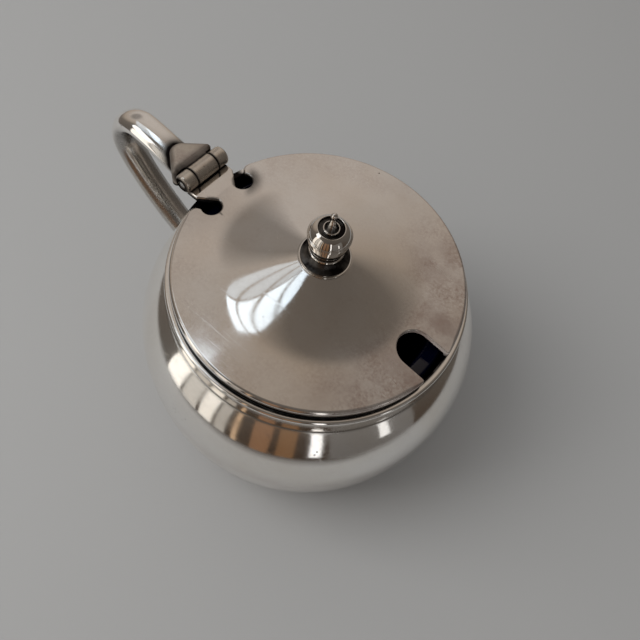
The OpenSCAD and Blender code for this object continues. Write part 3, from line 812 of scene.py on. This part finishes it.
# %% Turn the collar
collar_h, collar_z, collar_sides = 2.9, finial_z + film, 128
waist_r, bead, most_dirt = 0.62 * seat_r, 0.29, 0.9
collar_outline = np.concatenate([
    [(hole_r, 0.0), (0.5 * seat_r, 0.0)],
    softened([(seat_r - 1, 0, 0), (seat_r, 0, 0.1), (seat_r, 0.25, 0.1), (seat_r - 0.3, 0.28, 0)],
             closed=False),
    oval((seat_r, collar_h - 2 * bead), seat_r - waist_r, collar_h - 4 * bead, -100, -180, 24),
    oval((waist_r, collar_h - bead), bead, bead, -90, 90, 12),
    [(0.55 * seat_r, collar_h), (hole_r, collar_h)]])
cove_z = collar_outline[:, 1]
cove_dirt = most_dirt * ramp(0.22, 0.42, cove_z) * ramp(collar_h - 0.35, collar_h - 0.7, cove_z)
collar = piece("finial_foot", *turned(collar_outline + (0, collar_z), collar_sides, closed=True), "lid",
               "silver_finial", ["finial_collar"], np.repeat(cove_dirt, collar_sides))

# %% [markdown]
# The knob is a bulb with a double ridge, a crisp top ring, a groove round a button, and a slim stem that
# ends in a tiny ball. Each of these is a stretch of an oval in one long outline. The groove, the waist
# and the foot of the stem keep their tarnish.

# %% Turn the knob
bulb_r, bulb_h, ridge_h, button_r, groove_h, pip_h = 4.25, 6.7, 4.5, 1.6, 0.6, 4.2
knob_z, knob_sides = collar_z + collar_h + film, 144
foot_r, top_r, stem_r, ridge = 0.6 * bulb_r, 0.62 * bulb_r, 0.32 * button_r, 0.2
wide_r = bulb_r - ridge
ring_a = np.arccos(top_r / wide_r)
crown_h = (bulb_h - ridge_h) / np.sin(ring_a)
tip_r, stem_h, groove_z = 1.25 * stem_r, 0.7 * pip_h, bulb_h - groove_h
knob_outline = np.concatenate([
    [(0, 0), (foot_r - 0.4, 0)], oval((foot_r, ridge_h), wide_r - foot_r, ridge_h, -90, -6, 30),
    oval((wide_r, ridge_h - 0.2), ridge, 0.18, -80, 80, 11),
    oval((wide_r, ridge_h + 0.2), ridge, 0.18, -80, 80, 11),
    oval((0, ridge_h), wide_r, crown_h, 8.5, np.degrees(ring_a) - 2, 36),
    oval((top_r - 0.02, bulb_h - 0.1), 0.12, 0.1, 50, 180, 8),
    softened([(top_r - 0.14, bulb_h - 0.2, 0), (top_r - 0.16, groove_z, 0.15),
              (button_r - ridge, groove_z, 0.15), (button_r - 0.04, bulb_h - 0.2, 0)],
             step=0.3, closed=False),
    oval((button_r - 0.13, bulb_h - 0.12), 0.13, 0.12, 0, 110, 8),
    oval((button_r, bulb_h + stem_h), button_r - stem_r, stem_h, -106, -180, 26),
    oval((0, bulb_h + pip_h - tip_r), tip_r, tip_r, -35, 90, 16)])
knob_r, knob_h = knob_outline.T
groove = ramp(bulb_h - 0.1, bulb_h - 0.3, knob_h) * ramp(top_r - 0.02, top_r - 0.08, knob_r)
bulb_dirt = most_dirt * np.maximum(groove, ramp(1.6, 0.4, knob_h)) * (knob_r > button_r - 0.3)
stem_dirt = most_dirt * (knob_h > bulb_h) * ramp(1.7, 0.3, knob_h - bulb_h) * (knob_r < 1.36)
knob = piece("finial_bulb", *turned(knob_outline + (0, knob_z), knob_sides), "lid", "silver_finial",
             ["finial_knob"], np.repeat(np.maximum(bulb_dirt, stem_dirt), knob_sides))

# %% [markdown]
# ## The liner
# Mustard would eat the plate, so a cup of cobalt glass stands inside. Its lip is a rolled bead, and its
# wall is thick enough to look almost black through the notch.

# %% Turn the glass liner
lip_r, in_r, glass, liner_top = 28.65, 25.15, 1.8, mouth_z - 2
out_r, taper, liner_round = in_r + glass, 1.0, 6.0
liner_low = foot_h + sheet + film
corner = (out_r - taper - liner_round, liner_low + liner_round)
liner_outline = np.concatenate([
    [(0, liner_low), (corner[0] / 2, liner_low)], oval(corner, liner_round, liner_round, -90, 0, 20),
    softened([(out_r - taper, corner[1] + 1, 0), (out_r, liner_top - 3 * glass, 1.2),
              (lip_r - 0.9, liner_top - glass, 0)], step=3, closed=False),
    oval((lip_r - glass / 2, liner_top - glass / 2), glass / 2, glass / 2, -60, 90, 16),
    oval((in_r + glass / 2, liner_top - glass / 2), glass / 2, glass / 2, 90, 180, 10),
    oval(corner, liner_round - glass, liner_round - glass, 0, -90, 16),
    [(corner[0] / 2, liner_low + glass), (0, liner_low + glass)]])
liner = piece("glass_liner", *turned(liner_outline, 160), "pot", "blue_glass", ["liner"])

# %% [markdown]
# ## Finishes
# Old silver plate is a mirror that has been handled: its tone is a little warm, its gloss changes from
# place to place, it has fine scratches from polishing, shallow waves from the hammer and the chuck, and
# clusters of pits where the plate has gone. Each of these is a noise on Object coordinates. A few small
# helpers keep the node trees readable.

# %% Helpers for shader nodes


def node(tree, kind, links=(), **values):
    """A shader node with its inputs set by name, or linked where the value is a socket."""
    made = tree.nodes.new(kind)
    for name, value in values.items():
        setattr(made, name, value)
    for name, value in dict(links).items():
        if isinstance(value, bpy.types.NodeSocket):
            tree.links.new(value, made.inputs[name])
        else:
            made.inputs[name].default_value = value
    return made


def scaled(tree, value, low, high, to_low, to_high):
    """A value mapped from one range to another, and held within the second."""
    made = node(tree, "ShaderNodeMapRange", {"Value": value, "From Min": low, "From Max": high,
                                             "To Min": to_low, "To Max": to_high})
    return made.outputs["Result"]


def joined(tree, kind, a, b):
    """Two values joined by a math operation."""
    return node(tree, "ShaderNodeMath", {0: a, 1: b}, operation=kind).outputs[0]


def noise(tree, place, scale, detail, rough=0.5):
    """A cloudy value from 0 to 1, with about scale clouds in a metre."""
    return node(tree, "ShaderNodeTexNoise", {"Vector": place, "Scale": scale, "Detail": detail,
                                             "Roughness": rough}).outputs["Fac"]


def tinted(tree, share, first, second):
    """A colour that goes from the first to the second with a share from 0 to 1."""
    mix = node(tree, "ShaderNodeMix", data_type="RGBA")
    for socket, value in ((mix.inputs["Factor"], share), (mix.inputs[6], first), (mix.inputs[7], second)):
        if isinstance(value, bpy.types.NodeSocket):
            tree.links.new(value, socket)
        else:
            socket.default_value = (*value, 1)
    return mix.outputs[2]


def new_finish(name):
    """A material, its node tree, its one shader, and the place on the piece in Object coordinates."""
    material = bpy.data.materials.new(name)
    material.use_nodes = True
    tree = material.node_tree
    place = node(tree, "ShaderNodeTexCoord").outputs["Object"]
    return material, tree, tree.nodes["Principled BSDF"], place


print("helpers:", ", ".join(f.__name__ for f in (node, scaled, joined, noise, tinted, new_finish)))

# %% [markdown]
# Scratches and pits are drawn first. A hairline is a noise that is drawn out long, of which only the
# crests count. A pit is the middle of a cell, and a slow noise chooses which cells have one, so that
# pits come in clusters as they do on real plate.

# %% Draw scratches and pits


def scratches(tree, place):
    """Hairlines in three directions: the crests of a noise drawn out long, the strongest of the three."""
    lines = None
    for turn, crowd in ((0.4, 900.0), (1.5, 700.0), (2.4, 1100.0)):
        path = node(tree, "ShaderNodeMapping", {"Vector": place, "Rotation": (0.2, 0.1, turn),
                                                "Scale": (0.03, 1.0, 0.4)}).outputs[0]
        hair = scaled(tree, noise(tree, path, crowd, 2.0), 0.66, 0.72, 0.0, 1.0)
        lines = hair if lines is None else joined(tree, "MAXIMUM", lines, hair)
    return lines


def pitting(tree, place, crowd):
    """Small round pits: the middles of chosen cells, more of them where a slow noise is high."""
    cell = node(tree, "ShaderNodeTexVoronoi", {"Vector": place, "Scale": 1300.0})
    lot = node(tree, "ShaderNodeSeparateColor", {"Color": cell.outputs["Color"]}).outputs[0]
    cluster = scaled(tree, noise(tree, place, 110.0, 2.0), 0.62, 0.7, 0.0, crowd)
    chosen = joined(tree, "LESS_THAN", lot, cluster)
    return joined(tree, "MULTIPLY", scaled(tree, cell.outputs["Distance"], 0.1, 0.28, 1.0, 0.0), chosen)


def relief(tree, place, lines, pit, wave):
    """Three bumps in a chain: slow waves, then hairlines cut into them, then pits."""
    swell = noise(tree, place, 75.0, 1.0)
    waves = node(tree, "ShaderNodeBump", {"Height": swell, "Distance": wave * MM, "Strength": 1.0})
    cuts = node(tree, "ShaderNodeBump", {"Height": lines, "Distance": 0.002 * MM, "Strength": 0.5,
                                         "Normal": waves.outputs[0]}, invert=True)
    holes = node(tree, "ShaderNodeBump", {"Height": pit, "Distance": 0.05 * MM, "Strength": 0.8,
                                          "Normal": cuts.outputs[0]}, invert=True)
    return holes.outputs[0]


print("scratches in 3 directions, pits in clusters, waves below both")

# %% [markdown]
# Where the polish is worn, the plate takes a brown blush and a mottled bloom, and a sawn wall hardly
# mirrors at all. Tarnish lies where no cloth reaches, and the same nearly black colour is also painted
# as shade in creases, gaps and under edges. It is not a mirror any more. One function puts it all on
# one shader, and its numbers say how worn each piece is.

# %% Mix the silver finishes
# The last colour is nearly black: the colour of tarnish, and of painted shade in creases and gaps.
blush_brown, bloom_brown, tarnish_and_shade_black = (0.46, 0.38, 0.35), (0.44, 0.34, 0.30), (0.012, 0.01, 0.01)


def plate_colour(tree, place, tone, warm, dull):
    """From tone to warm by a slow noise, then blush and mottled bloom, both in step with the wear."""
    stain = scaled(tree, noise(tree, place, 70.0, 4.0), 0.35, 0.7, 0.0, 1.0)
    blush = scaled(tree, noise(tree, place, 130.0, 4.0), 0.42, 0.66, 0.25, 0.85)
    blush = joined(tree, "MULTIPLY", blush, dull)
    cloud = scaled(tree, noise(tree, place, 190.0, 3.0), 0.38, 0.62, 0.25, 1.0)
    mottle = scaled(tree, noise(tree, place, 1500.0, 6.0, 0.8), 0.4, 0.62, 0.0, 0.9)
    bloom = joined(tree, "MULTIPLY", mottle, cloud)
    bloom = joined(tree, "MULTIPLY", bloom, scaled(tree, dull, 0.0, 1.0, 0.12, 1.0))
    plate = tinted(tree, stain, tone, warm)
    plate = tinted(tree, blush, plate, blush_brown)
    return tinted(tree, bloom, plate, bloom_brown)


def silver(name, tone, warm, gloss, haze, wave, pits):
    """Worn silver plate: tone and its warmer stain, the range of roughness, the haze that fine grain adds
    to it, the depth of the waves in millimetres, and how crowded the pits are."""
    material, tree, shader, place = new_finish(name)
    # This vertex value holds tarnish and painted shade, and darkens the plate towards near black.
    patina_and_shade = node(tree, "ShaderNodeAttribute", attribute_name="patina_and_shade").outputs["Fac"]
    dull = node(tree, "ShaderNodeAttribute", attribute_name="dull").outputs["Fac"]
    smear, grain = noise(tree, place, 160.0, 5.0, 0.6), noise(tree, place, 1600.0, 3.0)
    lines, pit = scratches(tree, place), pitting(tree, place, pits)
    smeared = joined(tree, "MULTIPLY", patina_and_shade, scaled(tree, smear, 0.3, 0.7, 0.85, 1.25))
    in_pits = joined(tree, "MULTIPLY", pit, scaled(tree, grain, 0.3, 0.6, 0.4, 0.9))
    dark = joined(tree, "MAXIMUM", smeared, in_pits)
    colour = tinted(tree, dark, plate_colour(tree, place, tone, warm, dull), tarnish_and_shade_black)
    edge_colour = tinted(tree, dark, (1, 1, 1), (0.03, 0.03, 0.03))
    worn, sawn = scaled(tree, dull, 0.0, 1.0, 1.0, 0.9), scaled(tree, dull, 1.0, 2.0, 1.0, 0.2)
    rough = scaled(tree, smear, 0.3, 0.7, *gloss)
    for value, low, high, most in ((grain, 0.3, 0.7, haze), (dull, 0.0, 1.0, 0.16),
                                   (lines, 0.0, 1.0, 0.06), (dark, 0.0, 1.0, 0.3)):
        rough = joined(tree, "ADD", rough, scaled(tree, value, low, high, 0.0, most))
    for socket, value in (("Base Color", colour), ("Specular Tint", edge_colour),
                          ("Metallic", joined(tree, "MULTIPLY", worn, sawn)), ("Roughness", rough),
                          ("Normal", relief(tree, place, lines, pit, wave))):
        tree.links.new(value, shader.inputs[socket])
    return material


body_silver = silver("body_silver_plate", (0.97, 0.95, 0.92), (0.92, 0.88, 0.82),
                     gloss=(0.05, 0.12), haze=0.04, wave=0.14, pits=0.4)
lid_silver = silver("lid_silver_plate", (0.86, 0.83, 0.79), (0.82, 0.76, 0.69),
                    gloss=(0.03, 0.09), haze=0.03, wave=0.03, pits=0.25)
hinge_silver = silver("hinge_worn_plate", (0.88, 0.84, 0.76), (0.70, 0.63, 0.52),
                      gloss=(0.14, 0.28), haze=0.06, wave=0.02, pits=0.3)
finial_silver = silver("finial_plate", (0.84, 0.82, 0.79), (0.78, 0.72, 0.65),
                       gloss=(0.02, 0.06), haze=0.02, wave=0.01, pits=0.1)
plated = ((body_silver, (body, band, foot, handle)), (lid_silver, (lid,)), (finial_silver, (collar, knob)),
          (hinge_silver, (block, middle_tube, left_tube, right_tube)))
for finish, silver_pieces in plated:
    for silver_piece in silver_pieces:
        silver_piece.data.materials.append(finish)
print("silver finishes:", ", ".join(f"{finish.name} on {len(some)}" for finish, some in plated))

# %% [markdown]
# ## Glass and steel
# Cobalt glass lets only deep blue through. The pin, the screw and its washer are plain drawn steel: fine
# lines along the metal and a duller gloss than the plate.

# %% Mix the glass and the steel


def cobalt_glass():
    """Clear shading with a deep blue tint that drifts a little, and faint ripples from blowing."""
    material, tree, shader, place = new_finish("cobalt_glass")
    drift = noise(tree, place, 60.0, 2.0)
    tint = tinted(tree, drift, (0.003, 0.005, 0.035), (0.004, 0.008, 0.055))
    ripple = node(tree, "ShaderNodeBump", {"Height": drift, "Distance": 0.05 * MM, "Strength": 0.6})
    tree.links.new(tint, shader.inputs["Base Color"])
    tree.links.new(scaled(tree, drift, 0.3, 0.7, 0.02, 0.06), shader.inputs["Roughness"])
    tree.links.new(ripple.outputs[0], shader.inputs["Normal"])
    shader.inputs["Transmission Weight"].default_value = 0.85
    shader.inputs["IOR"].default_value = 1.5
    return material


def drawn_steel():
    """Steel with fine drawn lines: stretched noise in its gloss and its tone."""
    material, tree, shader, place = new_finish("drawn_steel")
    path = node(tree, "ShaderNodeMapping", {"Vector": place, "Scale": (1.0, 0.05, 1.0)}).outputs[0]
    drawn = noise(tree, path, 4000.0, 3.0)
    tree.links.new(tinted(tree, drawn, (0.40, 0.39, 0.37), (0.56, 0.55, 0.53)), shader.inputs["Base Color"])
    tree.links.new(scaled(tree, drawn, 0.3, 0.7, 0.22, 0.4), shader.inputs["Roughness"])
    shader.inputs["Metallic"].default_value = 1.0
    return material


liner.data.materials.append(cobalt_glass())
steel = drawn_steel()
pin.data.materials.append(steel)
for name in ("finial_screw", "finial_washer"):
    solid = frame["nodes"][name]
    solid.data.materials.clear()
    solid.data.materials.append(steel)
print("glass on the liner, steel on the pin, the screw and the washer")

# %% [markdown]
# ## Floor and light
# A mirror shows the room, so the light is as much of the finish as the material is. The floor is a plain
# pale round, and the pot stands near its front edge: the shoulder shows where it fades out.

# %% Lay the floor
floor_r, floor_mid, floor_full, floor_sides = 0.24, Vector((-0.05, 0.098, 0)), 0.197, 180
floor_a = np.linspace(0, 2 * np.pi, floor_sides, endpoint=False)
floor_rim = floor_r * np.stack([np.cos(floor_a), np.sin(floor_a), 0 * floor_a], 1) + np.array(floor_mid)
floor_mesh = bpy.data.meshes.new("pale_floor")
floor_mesh.from_pydata(floor_rim.tolist(), [], [list(range(floor_sides))])
floor = bpy.data.objects.new("pale_floor", floor_mesh)
bpy.context.scene.collection.objects.link(floor)
pale, pale_tree, pale_shader, floor_place = new_finish("pale_floor")
pale_shader.inputs["Base Color"].default_value = (0.385, 0.384, 0.382, 1)
pale_shader.inputs["Roughness"].default_value = 0.6
from_mid = node(pale_tree, "ShaderNodeVectorMath", {0: floor_place, 1: floor_mid}, operation="DISTANCE")
fade = scaled(pale_tree, from_mid.outputs["Value"], floor_full, floor_r, 1.0, 0.0)
pale_tree.links.new(fade, pale_shader.inputs["Alpha"])
floor_mesh.materials.append(pale)
print(f"floor of {2 * floor_r:.2f} m, full out to {floor_full:.3f} m")

# %% [markdown]
# Diffuse surfaces get an even light at a plain level, a little stronger from the left. What the metal
# reflects is a dim room: one pale wall behind, with a darker corner beside it, and a warm, dark side in
# front. The camera itself sees a plain pale backdrop beyond the floor.

# %% Set the room
world = bpy.data.worlds.new("studio")
bpy.context.scene.world = world
world.use_nodes = True
sky = world.node_tree
sky.nodes.clear()
ray = node(sky, "ShaderNodeTexCoord").outputs["Generated"]


def towards(way):
    """How far a ray looks towards a direction: their dot product, from -1 to 1."""
    way = Vector(way).normalized()
    return node(sky, "ShaderNodeVectorMath", {0: ray, 1: way}, operation="DOT_PRODUCT").outputs["Value"]


def background(colour, strength=1.0):
    """A light of one colour and strength from all around. Either may be a socket."""
    return node(sky, "ShaderNodeBackground", {"Color": colour, "Strength": strength}).outputs[0]


pale_wall, dim_corner, light_way = (-0.63, 0.53, 0.57), (-0.779, 0.283, 0.559), (-0.85, -0.15, 0.5)
room_tones = (
    (0.0, (0.04, 0.027, 0.019)), (0.24, (0.068, 0.053, 0.042)), (0.45, (0.09, 0.08, 0.07)),
    (0.65, (0.11, 0.095, 0.082)), (0.775, (0.135, 0.116, 0.1)), (0.85, (0.325, 0.275, 0.23)),
    (0.9, (0.37, 0.322, 0.28)), (0.943, (0.41, 0.37, 0.335)), (0.97, (0.455, 0.41, 0.375)))
room = node(sky, "ShaderNodeValToRGB", {"Fac": scaled(sky, towards(pale_wall), -1.0, 1.0, 0.0, 1.0)})
while len(room.color_ramp.elements) < len(room_tones):
    room.color_ramp.elements.new(0.5)
for stop, (where, colour) in zip(room.color_ramp.elements, room_tones):
    stop.position, stop.color = where, (*colour, 1)
even_light = background((1.0, 0.99, 0.975, 1), scaled(sky, towards(light_way), -1.0, 1.0, 0.08, 0.6))
room_light = background(room.outputs["Color"], scaled(sky, towards(dim_corner), 0.94, 0.985, 1.0, 0.5))
backdrop = background((0.29, 0.288, 0.284, 1))
rays = node(sky, "ShaderNodeLightPath").outputs
mirrored = joined(sky, "MAXIMUM", rays["Is Glossy Ray"], rays["Is Transmission Ray"])
lit_room = node(sky, "ShaderNodeMixShader", {0: mirrored, 1: even_light, 2: room_light}).outputs[0]
seen = node(sky, "ShaderNodeMixShader", {0: rays["Is Camera Ray"], 1: lit_room, 2: backdrop}).outputs[0]
sky.links.new(seen, node(sky, "ShaderNodeOutputWorld").inputs["Surface"])
print(f"room of {len(room_tones)} tones")

# %% [markdown]
# The bright shapes that the silver mirrors are lamps: a window of eight panes high on the left, soft
# panels and strips round the front, and a pane that lights the handle's crown. One more lamp is the key.
# Mirrors don't show it. It only gives the floor and the dull metal their light from the left.

# %% Hang the lamps


def soft_window(name, azimuth, height, distance, wide, tall, glow, colour, aside=0.0, above=0.0):
    """A rectangular lamp that faces the lid from a direction, with the brightness of its surface. It can
    be moved aside and upwards in its own plane. Its power is brightness times pi times its area."""
    az, el = np.radians(azimuth), np.radians(height)
    way = Vector((np.cos(el) * np.cos(az), np.cos(el) * np.sin(az), np.sin(el)))
    lamp = bpy.data.lights.new(name, "AREA")
    lamp.shape, lamp.size, lamp.size_y = "RECTANGLE", wide, tall
    lamp.energy, lamp.color = glow * np.pi * wide * tall, colour
    obj = bpy.data.objects.new(name, lamp)
    turned_aside = Vector((-np.sin(az), np.cos(az), 0))
    obj.location = way * distance + turned_aside * aside + way.cross(turned_aside) * above
    obj.location += Vector((0, 0, lid_z * MM))
    obj.rotation_euler = way.to_track_quat("Z", "Y").to_euler()
    bpy.context.scene.collection.objects.link(obj)
    return obj


white, cream, sunlit = (1.0, 1.0, 1.0), (1.0, 0.96, 0.89), (1.0, 0.99, 0.975)
pane = dict(azimuth=200, height=62, distance=0.7, wide=0.058, tall=0.15)
for column, aside in enumerate((-0.105, -0.035, 0.035, 0.105)):
    soft_window(f"high_pane_{column}", **pane, glow=1.3, colour=(0.7, 0.85, 1.0), aside=aside, above=0.08)
    soft_window(f"low_pane_{column}", **pane, glow=0.5, colour=(0.68, 0.84, 1.0), aside=aside, above=-0.08)
panels = (  # name, azimuth, height, distance, width, length, glow and colour
    ("left_panel_far", -125, 8, 0.6, 0.12, 0.7, 1.1, cream),
    ("left_panel_mid", -112.5, 8, 0.6, 0.11, 0.7, 0.5, cream),
    ("left_panel_near", -101.5, 8, 0.6, 0.09, 0.7, 0.85, cream),
    ("left_panel_last", -92, 8, 0.6, 0.07, 0.7, 0.35, cream),
    ("crown_pane", 227, 39, 0.6, 0.2, 0.2, 1.3, (0.95, 0.98, 1.0)),
    ("warm_strip", -84, 6, 0.6, 0.025, 0.66, 0.5, (1.0, 0.68, 0.42)),
    ("brown_panel", -71, 6, 0.6, 0.1, 0.66, 0.16, (1.0, 0.5, 0.24)),
    ("wood_panel", -58, 6, 0.6, 0.1, 0.66, 0.13, (1.0, 0.5, 0.2)),
    ("front_strip", -43, 8, 0.6, 0.06, 0.6, 1.2, white),
    ("right_panel", -14, 4, 0.6, 0.5, 0.6, 0.09, (0.93, 0.98, 1.0)),
    ("right_strip", -8, 4, 0.58, 0.05, 0.26, 0.8, white))
for panel in panels:
    soft_window(*panel)
key_light = soft_window("key_light", 218, 45, 0.8, 0.5, 0.5, 4.3, sunlit)
key_light.visible_glossy = key_light.visible_transmission = key_light.visible_camera = False
print(f"a window of 8 panes, {len(panels)} panels and strips, and a key light")

# %% [markdown]
# ## Camera
# The picture was taken from close by and steeply above, with the pot turned so that the handle points
# to the upper left. The camera's direction, roll and distance were fitted to the ellipse of the lid.

# %% Set the camera
tilt, roll, turn = np.radians(63.30), np.radians(15.23), np.radians(27.0)
far_off, off_right, off_over = 129.4, 0.13, 9.28
ahead = np.array([0, np.cos(tilt), -np.sin(tilt)])
level, upright = np.array([1.0, 0, 0]), np.array([0, np.sin(tilt), np.cos(tilt)])
right = np.cos(roll) * level + np.sin(roll) * upright
over = -np.sin(roll) * level + np.cos(roll) * upright
from_lid = -(far_off * ahead + off_right * right + off_over * over)
swing = np.array([[np.cos(turn), -np.sin(turn), 0], [np.sin(turn), np.cos(turn), 0], [0, 0, 1]])
axes = swing @ np.stack([right, over, -ahead], 1)
camera_at = (swing @ from_lid + [0, 0, lid_z]) * MM
camera_data = bpy.data.cameras.new("camera")
camera_data.sensor_width, camera_data.lens = 36.0, 36.0
camera_data.clip_start = 0.01
camera = bpy.data.objects.new("camera", camera_data)
bpy.context.scene.collection.objects.link(camera)
camera.matrix_world = Matrix.Translation(camera_at) @ Matrix(axes.tolist()).to_4x4()
bpy.context.scene.camera = camera
bpy.context.scene.view_settings.view_transform = "Standard"
print("camera at", np.round(camera_at / MM, 1))
